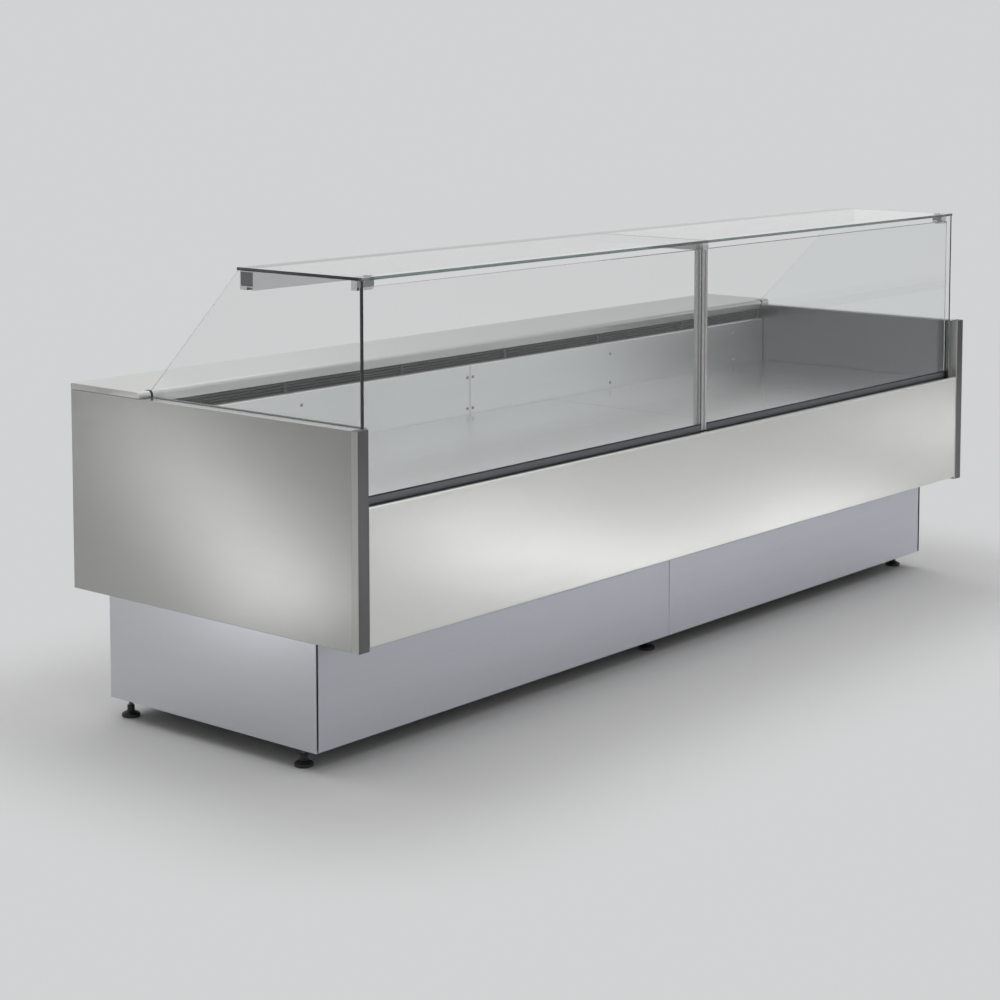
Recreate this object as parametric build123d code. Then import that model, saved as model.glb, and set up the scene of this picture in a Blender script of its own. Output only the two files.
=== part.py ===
from build123d import *
import math
import os

os.makedirs("parts", exist_ok=True)

# Refrigerated serve-over counter. X runs along the counter, the customer stands at -Y and the
# operator at +Y, Z is up from the floor. A depth is measured back from the front edge profiles.

# Overall sizes
length = 3000.0
depth = 1075.0
foot_height = 55.0
body_bottom = 335.0
panel_top = 883.0
worktop_top = 900.0
glass_top = 1250.0

# Sheet, glass and clearances
sheet = 1.5
worktop_sheet = 2.0
glass = 8.0
bend = 2.0
slip = 0.3
joint_gap = 1.0
end_gap = 3.0

# End panels and their front edge profiles
panel_thickness = 56.0
profile_width = 40.0
profile_depth = 22.0
profile_wall = 2.0
profile_front_wall = 3.0
profile_chamfer = 4.0
half_length = length / 2
panel_inner = half_length - panel_thickness
profile_inner = half_length - profile_width
well_half = panel_inner - end_gap

# Insulated tub
tub_front = 24.0
tub_rear = 886.0
tub_front_wall = 54.0
tub_rear_wall = 60.0
tub_floor = 60.0
tub_front_top = 664.0
tub_corner = 30.0
tub_half = panel_inner - 0.5
tub_front_inner = tub_front + tub_front_wall
tub_rear_inner = tub_rear - tub_rear_wall
tub_floor_top = body_bottom + tub_floor
liner_floor_top = tub_floor_top + slip + sheet
liner_rear_face = tub_rear_inner - slip - sheet
drain_x = -300.0
drain_depth = 300.0
drain_radius = 20.0
pipe_hole_radius = 20.0

# Front panel and the hinged front glass
front_face = 2.0
front_bottom = 341.0
front_lip_top = 690.0
front_lip_back = 19.5
front_lip_drop = 14.0
hinge_depth = 40.0
hinge_height = 680.0
bead_radius = 5.0
socket_wall = 3.2
neck = 4.0
swing = 45.0
holder_width = 14.0
holder_bottom = 689.0
holder_top = 707.0
holder_base = 3.0
pane_drop = 26.0
pane_top = glass_top - pane_drop
pane_bottom = holder_bottom + holder_base
pane_end = panel_inner - end_gap - 1.0
rail_rear = 73.5
rail_base = 4.0

# Centre post, arm, rear rail and lamp
post_half = 13.0
post_flange_half = 26.0
post_front = 32.0
post_flange_front = 48.0
post_flange_back = 52.0
post_back = 66.0
arm_half = 12.0
arm_height = 23.0
rail_box_front = 405.0
rail_box_back = 455.0
rail_box_height = 49.0
rail_box_wall = 3.0
lamp_front = 410.0
lamp_back = 430.0
lamp_groove = 7.0

# Side and top glass
side_glass_outer = half_length - 43.0
side_glass_front = 28.0
side_glass_seat = 858.0
side_glass_foot = 815.0
side_glass_rear_top = 458.0
top_glass_front = 25.0
top_glass_back = 462.0
clamp_length = 60.0
clamp_width = 20.0
clamp_height = 25.0
glass_under = glass_top - glass

# Display well
deck_top = 683.0
deck_flange = 17.5
deck_front = 114.5
wall_face = 783.0
wall_top = 835.5
deck_back = wall_face - 2.0
deck_seams = (205.0, half_length - 370.0)
wall_seam = -186.0
seam_to_fixing = 12.5
wall_fixings = (
    100.0 - half_length, 592.0 - half_length, wall_seam - seam_to_fixing, wall_seam + seam_to_fixing,
    526.0, half_length - 245.0,
)
fixing_heights = (deck_top + 19.0, wall_top - 37.5)
screw_radius = 2.5
screw_head_radius = 5.0
slot_pitch = 64.0
slot_length = 40.0
slot_width = 9.0
air_bays = 6
air_slots = 3
air_post = 10.0
air_slat = 3.0
air_frame = 4.0
air_grille_depth = 15.0

# Worktop
worktop_front = 795.0
worktop_lip = 32.0
worktop_roll = 9.0
worktop_rear_drop = 40.0
worktop_end_drop = 16.0
notch_depth = side_glass_foot + 7.0

# Plinth and base frame
plinth_front_face = 153.0
plinth_rear_face = 936.0
plinth_side_inset = 4.0
plinth_return = 19.0
plinth_top = body_bottom - 0.5
plinth_corner_gap = 7.0
plinth_hem = 3.0
vent_pitch = 30.0
vent_length = 150.0
vent_width = 14.0
angle_leg = 40.0
angle_wall = 4.0
frame_bottom = 60.0
frame_front = plinth_front_face + plinth_return
frame_rear = plinth_rear_face - plinth_return
frame_half = half_length - plinth_side_inset - plinth_return
foot_inset = 20.0
foot_depths = (frame_front + 63.0, frame_rear - foot_inset)
foot_columns = (foot_inset - frame_half, 0.0, frame_half - foot_inset)
foot_plate_half = 30.0
stud_radius = 6.0
stud_top = frame_bottom + 22.0

# Rear service panel and controls
rear_face = 934.5
fascia_x = half_length - 340.0
fascia_z = 775.0
fascia_width = 300.0
fascia_height = 80.0
fascia_thick = 3.5
fascia_box_depth = 34.5
fascia_wall = 2.5
fascia_margin = 8.0
rocker_columns = (fascia_x - 105.0, fascia_x - 60.0)
rocker_half_width = 9.2
rocker_half_height = 13.0
rocker_tilt = 8.0
rocker_pin = 1.5
rocker_sweep = 1.4
controller_x = fascia_x + 65.0
gland_x = half_length - 150.0
gland_z = 400.0
gland_radius = 10.0
gland_bore = 5.0
gland_flats = 27.0

# Refrigeration
coil_half = half_length - 380.0
coil_front = 500.0
coil_back = 700.0
coil_bottom = 430.0
coil_top = 560.0
coil_plate = 2.0
fan_columns = (-520.0, 520.0)
fan_tip = 116.0
fan_floor_gap = 27.2
fan_height = liner_floor_top + fan_floor_gap + fan_tip
fan_plate_depth = 400.0
shaft_radius = 4.0
tray_right = half_length - 270.0
tray_left = tray_right - 920.0
tray_front = 330.0
tray_back = frame_rear - angle_wall - 1.0
tray_rim = 18.0
compressor_x = tray_right - 220.0
compressor_depth = 560.0
compressor_radius = 92.0
compressor_base = 82.0
suction_stub = 200.0
discharge_stub = 140.0
stub_reach = 20.0
condenser_left = tray_left + 120.0
condenser_right = condenser_left + 360.0
condenser_back = tray_back - 7.0
condenser_front = condenser_back - 55.0
condenser_bottom = 84.0
condenser_top = 284.0
condenser_fan_tip = 90.0
shroud_front = condenser_front - 50.0
suction_riser = (tray_right, 640.0)
liquid_riser = (tray_right + 55.0, 690.0)
suction_height = coil_top - 60.0
liquid_height = coil_bottom + 30.0
liquid_start = condenser_bottom + 26.0
discharge_end = condenser_top - 29.0
pipe_bend = 26.0


def y_at(behind_front):
    return behind_front - depth / 2


def block(x0, x1, d0, d1, z0, z1):
    middle = Pos((x0 + x1) / 2, y_at((d0 + d1) / 2), (z0 + z1) / 2)
    return middle * Box(x1 - x0, d1 - d0, z1 - z0)


def both_ends(x0, x1, d0, d1, z0, z1):
    return block(x0, x1, d0, d1, z0, z1) + block(-x1, -x0, d0, d1, z0, z1)


def along_x(face, x0, x1):
    return extrude(Plane.YZ.offset(x0) * face, x1 - x0, dir=(1, 0, 0))


def outline(points):
    return make_face(Polyline(*[(y_at(d), z) for d, z in points], close=True))


def folded_sheet(points, thickness, radius, x0, x1):
    # The sheet lies on the left of the path of (depth, height) points.
    path = FilletPolyline(*[(y_at(d), z) for d, z in points], radius=radius)
    return along_x(make_face(offset(path, thickness, side=Side.LEFT, closed=True)), x0, x1)


def rod_x(x0, x1, d, z, radius):
    return Pos((x0 + x1) / 2, y_at(d), z) * Rot(0, 90, 0) * Cylinder(radius, x1 - x0)


def rod_y(x, d0, d1, z, radius):
    return Pos(x, y_at((d0 + d1) / 2), z) * Rot(90, 0, 0) * Cylinder(radius, d1 - d0)


def rod_z(x, d, z0, z1, radius):
    return Pos(x, y_at(d), (z0 + z1) / 2) * Cylinder(radius, z1 - z0)


def hexagon_y(x, d0, d1, z, across_flats):
    face = RegularPolygon(across_flats / 2, 6, major_radius=False)
    prism = extrude(face, d1 - d0)
    return Pos(x, y_at(d1), z) * Rot(90, 0, 0) * prism


def pressed_panel(x0, x1, d0, d1, z0, z1, open_side):
    # A sheet panel with returns on all four edges, open on one side.
    outer = block(x0, x1, d0, d1, z0, z1)
    edges = {
        "rear": outer.faces().sort_by(Axis.Y)[0],
        "front": outer.faces().sort_by(Axis.Y)[-1],
        "left": outer.faces().sort_by(Axis.X)[-1],
    }[open_side].edges()
    outer = fillet(edges, sheet * 0.8)
    cuts = {
        "rear": (x0 + sheet, x1 - sheet, d0 + sheet, d1 + 1),
        "front": (x0 + sheet, x1 - sheet, d0 - 1, d1 - sheet),
        "left": (x0 - 1, x1 - sheet, d0 + sheet, d1 - sheet),
    }[open_side]
    return outer - block(*cuts, z0 + sheet, z1 - sheet)


def fan_wheel(x, d, z, tip, hub, hub_length, blades, chord, rise):
    # Cambered blades on a hub, turning about an axis along Y.
    arc = ThreePointArc((-chord / 2, -rise / 2), (0, rise * 0.18), (chord / 2, rise / 2))
    section = make_face(offset(arc, 2.0, side=Side.LEFT, closed=True))
    blade = extrude(Plane.YZ.offset(hub - 3) * section, tip - hub + 12, dir=(1, 0, 0))
    wheel = Cylinder(hub, hub_length)
    for turn in range(blades):
        wheel += Rot(0, 0, 360 / blades * turn) * blade
    wheel = wheel & Cylinder(tip, hub_length + rise * 2)
    wheel -= Cylinder(shaft_radius + slip, hub_length * 2)
    return Pos(x, y_at(d), z) * Rot(90, 0, 0) * wheel


def fan_motor(x, z, d_back, d_plate, d_shaft, can_radius, arm_reach):
    # A motor can on a three-arm spider whose arms lie against the plate in front of d_plate.
    motor = rod_y(x, d_back, d_plate, z, can_radius)
    rim = motor.edges().filter_by(GeomType.CIRCLE).sort_by(Axis.Y)[0]
    motor = fillet(rim, can_radius * 0.2)
    motor += rod_y(x, d_plate - 4, d_shaft, z, shaft_radius)
    for turn in (90, 210, 330):
        arm = Box(arm_reach, 3, 14)
        arm = Pos(x, y_at(d_plate - 1.5), z) * Rot(0, turn, 0) * Pos(arm_reach / 2, 0, 0) * arm
        motor += arm
    return motor


def finned_block(x0, x1, d0, d1, z0, z1, pitch, fin):
    # A coil block whose fins stand between a top and a bottom plate, open from front to back.
    coil = block(x0, x1, d0, d1, z0, z1)
    count = round((x1 - x0) / pitch)
    step = (x1 - x0 - fin) / count
    gaps = []
    for i in range(count):
        left = x0 + fin + step * i
        gaps.append(block(left, left + step - fin, d0 - 1, d1 + 1, z0 + 3, z1 - 3))
    return coil - gaps


def return_bends(x, outward, depths, heights, radius):
    # Half rings of tube joining neighbouring rows on the end plate of a coil.
    bends = []
    for d in depths:
        for low, high in zip(heights[::2], heights[1::2]):
            mid = (low + high) / 2
            reach = (high - low) / 2
            arc = ThreePointArc((0, -reach), (reach * outward, 0), (0, reach))
            ring = sweep(Plane((0, -reach, 0), z_dir=(outward, 0, 0)) * Circle(radius), path=arc)
            bends.append(Pos(x, y_at(d), mid) * Rot(90, 0, 0) * ring)
    return bends


def pipe(points, radius):
    path = FilletPolyline(*[(x, y_at(d), z) for x, d, z in points], radius=pipe_bend)
    start = Plane(origin=path @ 0, z_dir=path % 0)
    return sweep(start * Circle(radius), path=path)


parts = {}

# Welded base frame of steel angle
low_z = (frame_bottom, frame_bottom + angle_leg)
high_z = (body_bottom - angle_leg, body_bottom)
low_top = frame_bottom + angle_wall
frame_inner_front = frame_front + angle_leg
frame_inner_rear = frame_rear - angle_leg
members = []
for (z0, z1), flange in ((low_z, low_z[0]), (high_z, high_z[1] - angle_wall)):
    top = flange + angle_wall
    members.append(block(-frame_half, frame_half, frame_front, frame_front + angle_wall, z0, z1))
    members.append(block(-frame_half, frame_half, frame_front, frame_inner_front, flange, top))
    members.append(block(-frame_half, frame_half, frame_rear - angle_wall, frame_rear, z0, z1))
    members.append(block(-frame_half, frame_half, frame_inner_rear, frame_rear, flange, top))
    for x in (-1, 1):
        outer = sorted((x * frame_half, x * (frame_half - angle_wall)))
        inner = sorted((x * frame_half, x * (frame_half - angle_leg)))
        members.append(block(*outer, frame_front, frame_rear, z0, z1))
        members.append(block(*inner, frame_front, frame_rear, flange, top))
for x in (-1, 1):
    outer = sorted((x * frame_half, x * (frame_half - angle_wall)))
    inner = sorted((x * frame_half, x * (frame_half - angle_leg)))
    for face, inside in ((frame_front, frame_inner_front), (frame_rear, frame_inner_rear)):
        wall = sorted((face, face + angle_wall * (1 if inside > face else -1)))
        members.append(block(*inner, *wall, frame_bottom, body_bottom))
        members.append(block(*outer, *sorted((face, inside)), frame_bottom, body_bottom))
for face, inside in ((frame_front, frame_inner_front), (frame_rear, frame_inner_rear)):
    wall = sorted((face, face + angle_wall * (1 if inside > face else -1)))
    members.append(block(-angle_leg / 2, angle_leg / 2, *wall, frame_bottom, body_bottom))
for x in (-0.6 * frame_half, -0.3 * frame_half, tray_left, tray_right - angle_leg):
    members.append(block(x, x + angle_leg, frame_front, frame_rear, frame_bottom, low_top))
for x in (-0.6 * frame_half, 0.0, 0.6 * frame_half):
    members.append(block(x, x + angle_leg, frame_front, frame_rear, body_bottom - angle_wall, body_bottom))
    members.append(block(x, x + angle_wall, frame_front, frame_rear, *high_z))
foot_plate_back = foot_depths[0] + foot_plate_half
members.append(
    block(-foot_plate_half, foot_plate_half, frame_front, foot_plate_back, frame_bottom, low_top)
)
frame = members[0].fuse(*members[1:])
frame -= [
    rod_z(x, d, frame_bottom - 1, low_top + 1, stud_radius + slip)
    for x in foot_columns
    for d in foot_depths
]
parts["base_frame"] = frame

# Levelling feet, the nut of each bearing on the frame
foot_points = [(0, 0), (23, 0), (25, 2), (25, 8), (15, 14), (10, 16), (10, 32), (stud_radius, 32)]
foot_points += [(stud_radius, stud_top), (0, stud_top)]
foot = revolve(Plane.XZ * make_face(Polyline(*foot_points, close=True)), Axis.Z)
nut = Pos(0, 0, frame_bottom - 10) * extrude(RegularPolygon(9.5, 6, major_radius=False), 10)
foot = foot + nut
parts["feet"] = Compound(
    children=[Pos(x, y_at(d), 0) * foot for x in foot_columns for d in foot_depths]
)

# Plinth panels
plinth_half = half_length - plinth_side_inset
plinth_z = (foot_height, plinth_top)
plinth_ends = plinth_half - plinth_hem - plinth_corner_gap
front_span = (plinth_front_face, plinth_front_face + plinth_return)
side_span = (plinth_front_face, plinth_rear_face - plinth_hem)
parts["plinth_front_left"] = pressed_panel(-plinth_ends, -joint_gap, *front_span, *plinth_z, "rear")
parts["plinth_front_right"] = pressed_panel(joint_gap, plinth_ends, *front_span, *plinth_z, "rear")
side_panel = pressed_panel(frame_half, plinth_half, *side_span, *plinth_z, "left")
side_panel -= block(
    frame_half - 1, plinth_half - plinth_hem, plinth_front_face - 1, frame_front + 2,
    foot_height - 1, plinth_top + 1,
)
parts["plinth_right"] = side_panel
parts["plinth_left"] = mirror(side_panel, about=Plane.YZ)
grille = pressed_panel(
    -plinth_ends + plinth_return, plinth_ends - plinth_return,
    frame_rear, plinth_rear_face, *plinth_z, "front",
)
slots = []
condenser_middle = (condenser_left + condenser_right) / 2
for centre, count in ((-780.0, 14), (condenser_middle, 14), (compressor_x + 10, 6)):
    for i in range(count):
        x = centre + (i - (count - 1) / 2) * vent_pitch
        slot = Rot(90, 0, 0) * extrude(SlotCenterToCenter(vent_length, vent_width, rotation=90), 8, both=True)
        slots.append(Pos(x, y_at(plinth_rear_face), (foot_height + plinth_top) / 2) * slot)
parts["plinth_rear_grille"] = grille - slots

# Condensing unit on its tray in the base
tray = block(tray_left, tray_right, tray_front, tray_back, low_top, low_top + tray_rim)
tray -= block(
    tray_left + sheet, tray_right - sheet, tray_front + sheet, tray_back - sheet,
    low_top + sheet, low_top + tray_rim + 1,
)
parts["unit_tray"] = tray
unit_floor = low_top + sheet

shell_points = [
    (0, 2), (60, 2), (84, 14), (compressor_radius, 34), (compressor_radius, 86),
    (compressor_radius + 5, 86), (compressor_radius + 5, 94), (compressor_radius, 94),
    (compressor_radius, 140), (compressor_radius - 12, 168), (48, 186), (0, 192),
]
shell = revolve(Plane.XZ * make_face(Polyline(*shell_points, close=True)), Axis.Z)
compressor = Pos(0, 0, compressor_base) * (shell + Box(170, 150, 5))
for x in (-68, 68):
    for y in (-58, 58):
        stand = Cylinder(11, compressor_base - unit_floor)
        compressor += Pos(x, y, (unit_floor + compressor_base) / 2) * stand
compressor += Pos(-compressor_radius - 8, 0, compressor_base + 98) * Box(44, 62, 74)
compressor += Pos(compressor_radius, 0, suction_stub) * Rot(0, 90, 0) * Cylinder(10, 2 * stub_reach)
compressor += Pos(0, compressor_radius, discharge_stub) * Rot(90, 0, 0) * Cylinder(7, 2 * stub_reach)
parts["compressor"] = Pos(compressor_x, y_at(compressor_depth), 0) * compressor

condenser = finned_block(
    condenser_left, condenser_right, condenser_front, condenser_back,
    condenser_bottom, condenser_top, 15.0, 3.0,
)
for x in (condenser_left - coil_plate, condenser_right):
    condenser += block(
        x, x + coil_plate, condenser_front, condenser_back + 4, unit_floor, condenser_top + 4
    )
rows = [condenser_bottom + 25 + 50 * i for i in range(4)]
columns = (condenser_front + 15, condenser_back - 15)
condenser += return_bends(condenser_left - coil_plate, -1, columns, rows, 5)
parts["condenser_coil"] = condenser

fan_z = (condenser_bottom + condenser_top) / 2
shroud = block(
    condenser_left + 2, condenser_right - 2, shroud_front, condenser_front,
    condenser_bottom + 2, condenser_top - 2,
)
shroud -= block(
    condenser_left + 2 + sheet, condenser_right - 2 - sheet, shroud_front + sheet, condenser_front + 1,
    condenser_bottom + 2 + sheet, condenser_top - 2 - sheet,
)
shroud += rod_y(condenser_middle, shroud_front, shroud_front + 14, fan_z, condenser_fan_tip + 6)
shroud -= rod_y(condenser_middle, shroud_front - 1, shroud_front + 15, fan_z, condenser_fan_tip + 4)
parts["condenser_shroud"] = shroud
parts["condenser_fan_motor"] = fan_motor(
    condenser_middle, fan_z, shroud_front - 75, shroud_front, shroud_front + 26, 34.0, condenser_fan_tip + 28
)
parts["condenser_fan"] = fan_wheel(
    condenser_middle, shroud_front + 17, fan_z, condenser_fan_tip, 24.0, 22.0, 5, 62.0, 18.0
)

# Copper lines: suction, liquid and discharge
suction_x, suction_depth = suction_riser
liquid_x, liquid_depth = liquid_riser
coil_end = coil_half + coil_plate
condenser_end = condenser_right + coil_plate
condenser_rows = (condenser_back - 15, condenser_back - 35)
suction_start = compressor_x + compressor_radius + stub_reach
discharge_start = compressor_depth + compressor_radius + stub_reach
suction = pipe(
    [
        (suction_start, compressor_depth, suction_stub), (suction_x, compressor_depth, suction_stub),
        (suction_x, suction_depth, suction_stub), (suction_x, suction_depth, suction_height),
        (coil_end, suction_depth, suction_height),
    ],
    8.0,
)
liquid = pipe(
    [
        (condenser_end, condenser_rows[0], liquid_start), (liquid_x, condenser_rows[0], liquid_start),
        (liquid_x, liquid_depth, liquid_start), (liquid_x, liquid_depth, liquid_height),
        (coil_end, liquid_depth, liquid_height),
    ],
    5.0,
)
discharge = pipe(
    [
        (compressor_x, discharge_start, discharge_stub), (compressor_x, condenser_rows[1], discharge_stub),
        (compressor_x, condenser_rows[1], discharge_end), (condenser_end, condenser_rows[1], discharge_end),
    ],
    5.0,
)
parts["refrigerant_lines"] = Compound(children=[suction, liquid, discharge])

# Insulated tub and its liner
tub_points = [
    (tub_front, body_bottom), (tub_rear, body_bottom), (tub_rear, worktop_top - worktop_sheet),
    (tub_rear_inner, worktop_top - worktop_sheet), (tub_rear_inner, tub_floor_top),
    (tub_front_inner, tub_floor_top), (tub_front_inner, tub_front_top), (tub_front, tub_front_top),
]
tub = along_x(outline(tub_points), -tub_half, tub_half)
floor_edges = [edge for edge in tub.edges().filter_by(Axis.X) if abs(edge.center().Z - tub_floor_top) < 0.1]
tub = fillet(floor_edges, tub_corner)
floor_holes = [
    rod_z(x, d, body_bottom - 10, tub_floor_top + 10, pipe_hole_radius)
    for x, d in (suction_riser, liquid_riser)
]
drain_hole = rod_z(drain_x, drain_depth, body_bottom - 10, tub_floor_top + 10, drain_radius + 4)
parts["insulated_tub"] = tub - floor_holes - drain_hole

liner_path = [
    (tub_front_inner + slip, tub_front_top - 2), (tub_front_inner + slip, tub_floor_top + slip),
    (tub_rear_inner - slip, tub_floor_top + slip), (tub_rear_inner - slip, worktop_top - 10),
]
liner = folded_sheet(liner_path, sheet, tub_corner - slip, -tub_half, tub_half)
liner += rod_z(drain_x, drain_depth, body_bottom - 20, tub_floor_top + slip + 1, drain_radius)
liner -= rod_z(drain_x, drain_depth, body_bottom - 30, tub_floor_top + 20, drain_radius - 2)
liner -= floor_holes
parts["tub_liner"] = liner

# Evaporator coil on its end plates, and the two-fan plate in front of it
coil = finned_block(-coil_half, coil_half, coil_front, coil_back, coil_bottom, coil_top, 32.0, 4.0)
for x in (-coil_half - coil_plate, coil_half):
    coil += block(x, x + coil_plate, coil_front - 6, coil_back + 6, liner_floor_top, coil_top + 6)
tube_rows = [coil_bottom + 20 + 30 * i for i in range(4)]
coil += return_bends(-coil_half - coil_plate, -1, (coil_front + 60, coil_back - 60), tube_rows, 6)
parts["evaporator_coil"] = coil

plate_top = deck_top - 2 * sheet
plate_path = [
    (fan_plate_depth - 34, plate_top), (fan_plate_depth, plate_top),
    (fan_plate_depth, liner_floor_top), (fan_plate_depth + 30, liner_floor_top),
]
plate = folded_sheet(plate_path, sheet, bend, -well_half, well_half)
for x in fan_columns:
    plate -= rod_y(x, fan_plate_depth - 10, fan_plate_depth + 10, fan_height, fan_tip + 6)
parts["fan_plate"] = plate
for side, x in zip(("left", "right"), fan_columns):
    parts["evaporator_fan_motor_" + side] = fan_motor(
        x, fan_height, fan_plate_depth - 68, fan_plate_depth, fan_plate_depth + 30, 36.0, fan_tip + 18
    )
    parts["evaporator_fan_" + side] = fan_wheel(
        x, fan_plate_depth + 22, fan_height, fan_tip, 28.0, 26.0, 5, 76.0, 22.0
    )

# Return-air grille, deck plates, rear wall and the discharge grille
grille_path = [
    (rail_rear + sheet, tub_front_top + 6), (rail_rear + sheet, deck_top - sheet),
    (deck_front - 2.5, deck_top - sheet), (deck_front - 2.5, deck_top - deck_flange - sheet),
    (deck_front + 16, deck_top - deck_flange - sheet),
]
return_grille = folded_sheet(grille_path, sheet, bend, -well_half, well_half)
slot_middle = (rail_rear + deck_front) / 2
slots = []
slot_count = math.floor(2 * well_half / slot_pitch) - 1
for i in range(slot_count):
    x = (i - (slot_count - 1) / 2) * slot_pitch
    slot = extrude(SlotCenterToCenter(slot_length, slot_width), 8, both=True)
    slots.append(Pos(x, y_at(slot_middle), deck_top) * slot)
parts["return_grille"] = return_grille - slots

deck_path = [
    (deck_front + sheet, deck_top - deck_flange), (deck_front + sheet, deck_top - sheet),
    (deck_back - sheet, deck_top - sheet), (deck_back - sheet, deck_top - deck_flange),
]
deck_edges = [-well_half, *deck_seams, well_half]
for name, x0, x1 in zip(("left", "middle", "right"), deck_edges, deck_edges[1:]):
    parts["deck_plate_" + name] = folded_sheet(deck_path, sheet, bend, x0 + joint_gap, x1 - joint_gap)

ledge_z = deck_top - deck_flange - sheet
wall_path = [
    (wall_face - 17, ledge_z), (wall_face + sheet, ledge_z),
    (wall_face + sheet, wall_top - sheet), (wall_face + 32, wall_top - sheet),
]
for name, x0, x1 in (("left", -well_half, wall_seam - 1), ("right", wall_seam + 1, well_half)):
    wall = folded_sheet(wall_path, sheet, bend, x0, x1)
    for x in (x0, x1 - sheet):
        wall += block(x, x + sheet, wall_face + 1, liner_rear_face, ledge_z + 4, wall_top - 5)
    holes = [
        rod_y(x, wall_face - 5, wall_face + 8, z, screw_radius + slip)
        for x in wall_fixings
        for z in fixing_heights
        if x0 < x < x1
    ]
    parts["rear_wall_" + name] = wall - holes

screw = rod_y(0, wall_face - 3, wall_face, 0, screw_head_radius)
screw = fillet(screw.edges().filter_by(GeomType.CIRCLE).sort_by(Axis.Y)[0], 1.6)
screw += rod_y(0, wall_face - 1, wall_face + 12, 0, screw_radius)
parts["wall_screws"] = Compound(
    children=[Pos(x, 0, z) * screw for x in wall_fixings for z in fixing_heights]
)

grille_top = worktop_top - worktop_lip - 2
air_front = worktop_front + 3
air_back = air_front + air_grille_depth
air_grille = block(-well_half, well_half, air_front, air_back, wall_top, grille_top)
openings = []
bay_pitch = (2 * well_half - air_post) / air_bays
row_pitch = (grille_top - wall_top - 2 * air_frame + air_slat) / air_slots
for bay in range(air_bays):
    x = -well_half + air_post + bay_pitch * bay
    for row in range(air_slots):
        z = wall_top + air_frame + row_pitch * row
        openings.append(
            block(x, x + bay_pitch - air_post, air_front - 1, air_back + 1, z, z + row_pitch - air_slat)
        )
parts["air_discharge_grille"] = air_grille - openings

# Worktop, notched around the side glass
lip_bottom = worktop_top - worktop_lip
rear_bottom = worktop_top - worktop_rear_drop
under = worktop_top - worktop_sheet
worktop_path = [
    (worktop_front + 14, lip_bottom + worktop_sheet),
    (worktop_front + worktop_sheet, lip_bottom + worktop_sheet),
    (worktop_front + worktop_sheet, under), (depth - worktop_sheet, under),
    (depth - worktop_sheet, rear_bottom + worktop_sheet), (depth - 16, rear_bottom + worktop_sheet),
]
worktop_bends = [bend, worktop_roll, bend, bend]
worktop = folded_sheet(worktop_path, worktop_sheet, worktop_bends, -half_length, half_length)
notch_inner = panel_inner - 2
worktop -= both_ends(
    side_glass_outer - glass - 2, side_glass_outer + 2, worktop_front - 1, notch_depth,
    lip_bottom - 1, worktop_top + 1,
)
worktop -= both_ends(
    notch_inner, half_length + 1, worktop_front - 1, depth + 1, rear_bottom - 1,
    worktop_top - worktop_end_drop,
)
fold_front = y_at(worktop_front + worktop_sheet / 2)
fold_back = y_at(depth - worktop_sheet * 1.5)
fold_top = worktop_top - worktop_sheet / 2
fold_bottom = worktop_top - worktop_end_drop
fold_path = FilletPolyline(
    (fold_front, fold_bottom), (fold_front, fold_top), (fold_back, fold_top), (fold_back, fold_bottom),
    radius=[worktop_roll + worktop_sheet / 2, bend],
)
fold_face = make_face(fold_path + Line(fold_path @ 1, fold_path @ 0))
end_fold = along_x(fold_face, half_length - worktop_sheet, half_length)
worktop += end_fold
worktop += mirror(end_fold, about=Plane.YZ)
parts["worktop"] = worktop

# End panels: a stainless skin around a foam core with a slot for the side glass
slot_gap = 1.0
glass_slot = block(
    side_glass_outer - glass - slot_gap, side_glass_outer + slot_gap, side_glass_front - 2,
    side_glass_foot + panel_top - side_glass_seat + 4, side_glass_seat, panel_top + 1,
)
skin = pressed_panel(panel_inner, half_length, profile_depth, depth, body_bottom, panel_top, "left")
skin -= glass_slot
inside = sheet + slip
core = block(
    panel_inner, half_length - inside, profile_depth + inside, depth - inside,
    body_bottom + inside, panel_top - inside,
)
core -= glass_slot
parts["end_panel_right"] = skin
parts["end_panel_left"] = mirror(skin, about=Plane.YZ)
parts["end_core_right"] = core
parts["end_core_left"] = mirror(core, about=Plane.YZ)

edge_profile = block(profile_inner, half_length, 0, profile_depth, body_bottom, panel_top)
edge_profile -= block(
    profile_inner + profile_wall, half_length - profile_wall, profile_front_wall, profile_depth + 1,
    body_bottom - 1, panel_top + 1,
)
front_edges = edge_profile.edges().filter_by(Axis.Z).group_by(Axis.Y)[0].sort_by(Axis.X)
edge_profile = chamfer(front_edges[0], profile_wall + 0.5, profile_chamfer * 0.6)
outer_edge = edge_profile.edges().filter_by(Axis.Z).group_by(Axis.Y)[0].sort_by(Axis.X)[-1]
edge_profile = fillet(outer_edge, 1.5)
parts["end_profile_right"] = edge_profile
parts["end_profile_left"] = mirror(edge_profile, about=Plane.YZ)

# Front panel with its rolled lip hooked on the rail
front_path = [
    (profile_depth - 2, front_bottom + sheet), (front_face + sheet, front_bottom + sheet),
    (front_face + sheet, front_lip_top - sheet), (front_lip_back - sheet, front_lip_top - sheet),
    (front_lip_back - sheet, front_lip_top - front_lip_drop),
]
parts["front_panel"] = folded_sheet(
    front_path, sheet, 3.0, -profile_inner + joint_gap, profile_inner - joint_gap
)

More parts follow.
